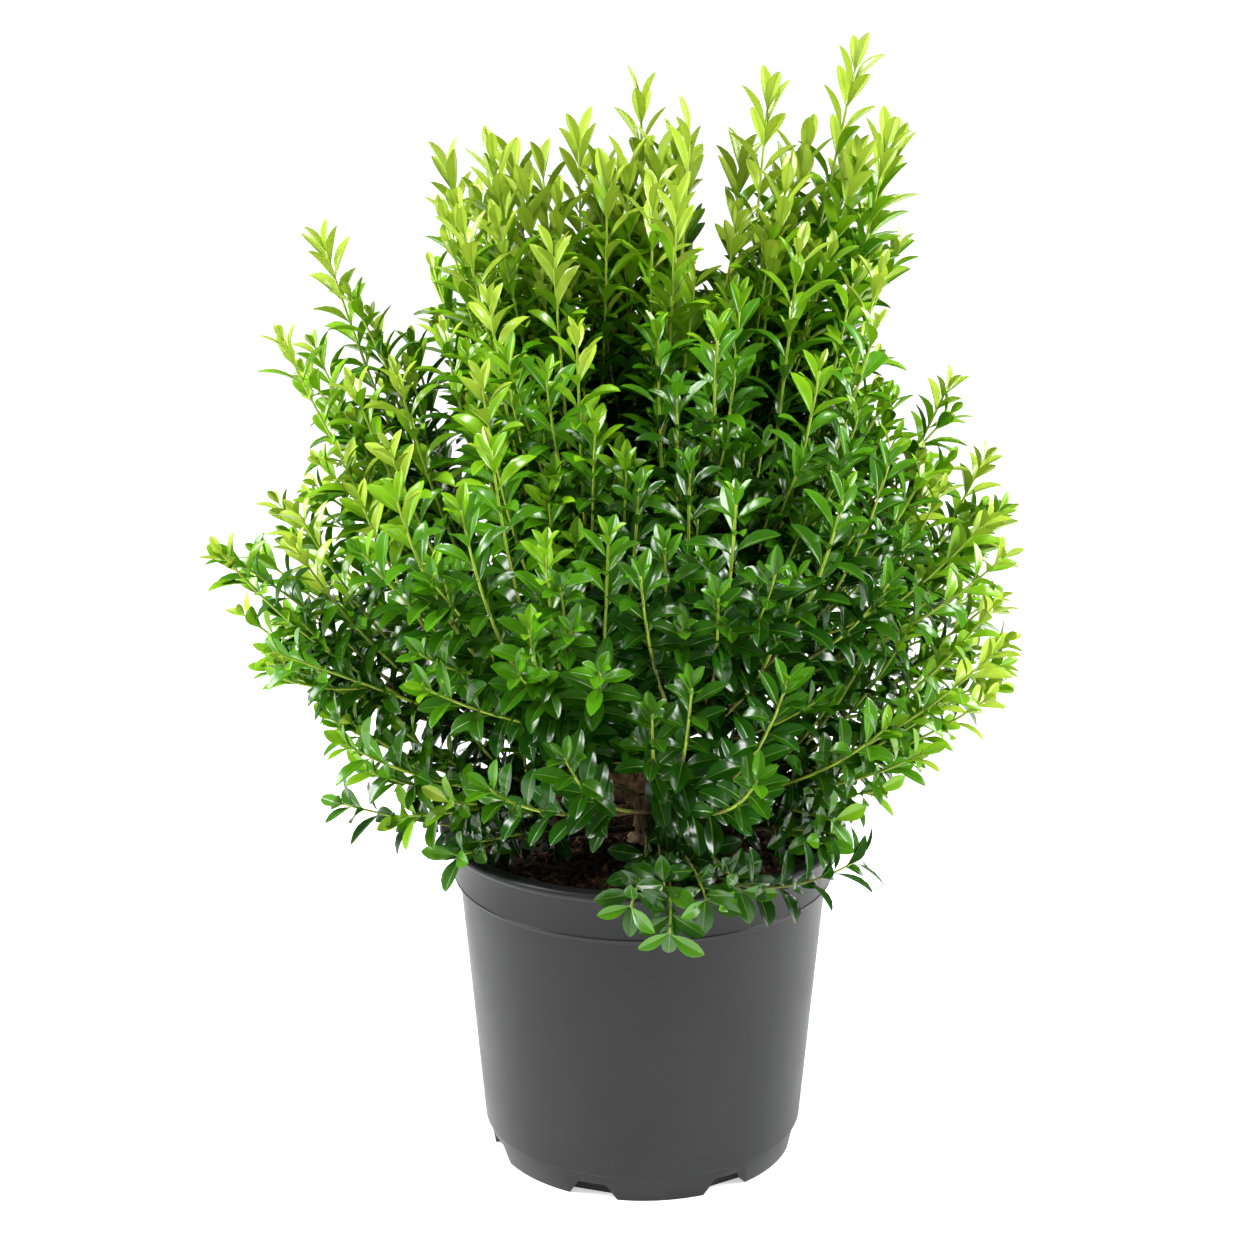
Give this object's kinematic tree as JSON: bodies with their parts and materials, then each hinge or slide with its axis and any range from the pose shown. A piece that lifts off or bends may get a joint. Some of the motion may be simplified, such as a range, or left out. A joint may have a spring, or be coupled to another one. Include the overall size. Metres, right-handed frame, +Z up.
{
  "type": "potted shrub",
  "caption": "Evergreen inkberry holly with many upright leafy shoots, growing in potting mix in a tapered round nursery pot with a rolled rim and a notched foot.",
  "frame": {"origin": "on the ground under the pot's axis, which is also the middle of the outline's box", "axes": "+Z up along the pot's axis, -Y to the front as pictured, +X to the right of the front"},
  "size_m": [0.5501, 0.4847, 0.7424],
  "materials": {
    "pot": "satin charcoal plastic",
    "soil": "moist bark mix",
    "bark": "fine grey-brown bark",
    "foliage": "glossy evergreen leaves"
  },
  "bodies": {
    "root": {"pot": "pot", "soil": "soil", "trunk": "bark", "bough_right_spire": "bark", "bough_centre_spire": "bark", "bough_left_spire": "bark", "bough_front_left_spire": "bark", "bough_front_right_spire": "bark", "bough_back_left": "bark", "bough_back_centre": "bark", "bough_back_right": "bark", "bough_left_shoulder": "bark", "bough_left_reach": "bark", "bough_right_shoulder": "bark", "bough_right_reach": "bark", "bough_front_left": "bark", "bough_front_right": "bark", "bough_left_low": "bark", "bough_right_low": "bark", "bough_front_low": "bark", "foliage_right_spire_1": "foliage", "foliage_right_spire_2": "foliage", "foliage_right_spire_3": "foliage", "foliage_centre_spire_1": "foliage", "foliage_centre_spire_2": "foliage", "foliage_left_spire_1": "foliage", "foliage_left_spire_2": "foliage", "foliage_left_spire_3": "foliage", "foliage_front_left_spire_1": "foliage", "foliage_front_left_spire_2": "foliage", "foliage_front_right_spire_1": "foliage", "foliage_front_right_spire_2": "foliage", "foliage_back_left_1": "foliage", "foliage_back_left_2": "foliage", "foliage_back_left_3": "foliage", "foliage_back_centre_1": "foliage", "foliage_back_centre_2": "foliage", "foliage_back_centre_3": "foliage", "foliage_back_right_1": "foliage", "foliage_back_right_2": "foliage", "foliage_back_right_3": "foliage", "foliage_left_shoulder_1": "foliage", "foliage_left_shoulder_2": "foliage", "foliage_left_reach_1": "foliage", "foliage_left_reach_2": "foliage", "foliage_left_reach_3": "foliage", "foliage_right_shoulder_1": "foliage", "foliage_right_shoulder_2": "foliage", "foliage_right_reach_1": "foliage", "foliage_right_reach_2": "foliage", "foliage_right_reach_3": "foliage", "foliage_front_left_1": "foliage", "foliage_front_left_2": "foliage", "foliage_front_right_1": "foliage", "foliage_front_right_2": "foliage", "foliage_left_low_1": "foliage", "foliage_right_low_1": "foliage", "foliage_right_low_2": "foliage", "foliage_front_low_1": "foliage", "foliage_front_low_2": "foliage"}
  },
  "joints": []
}
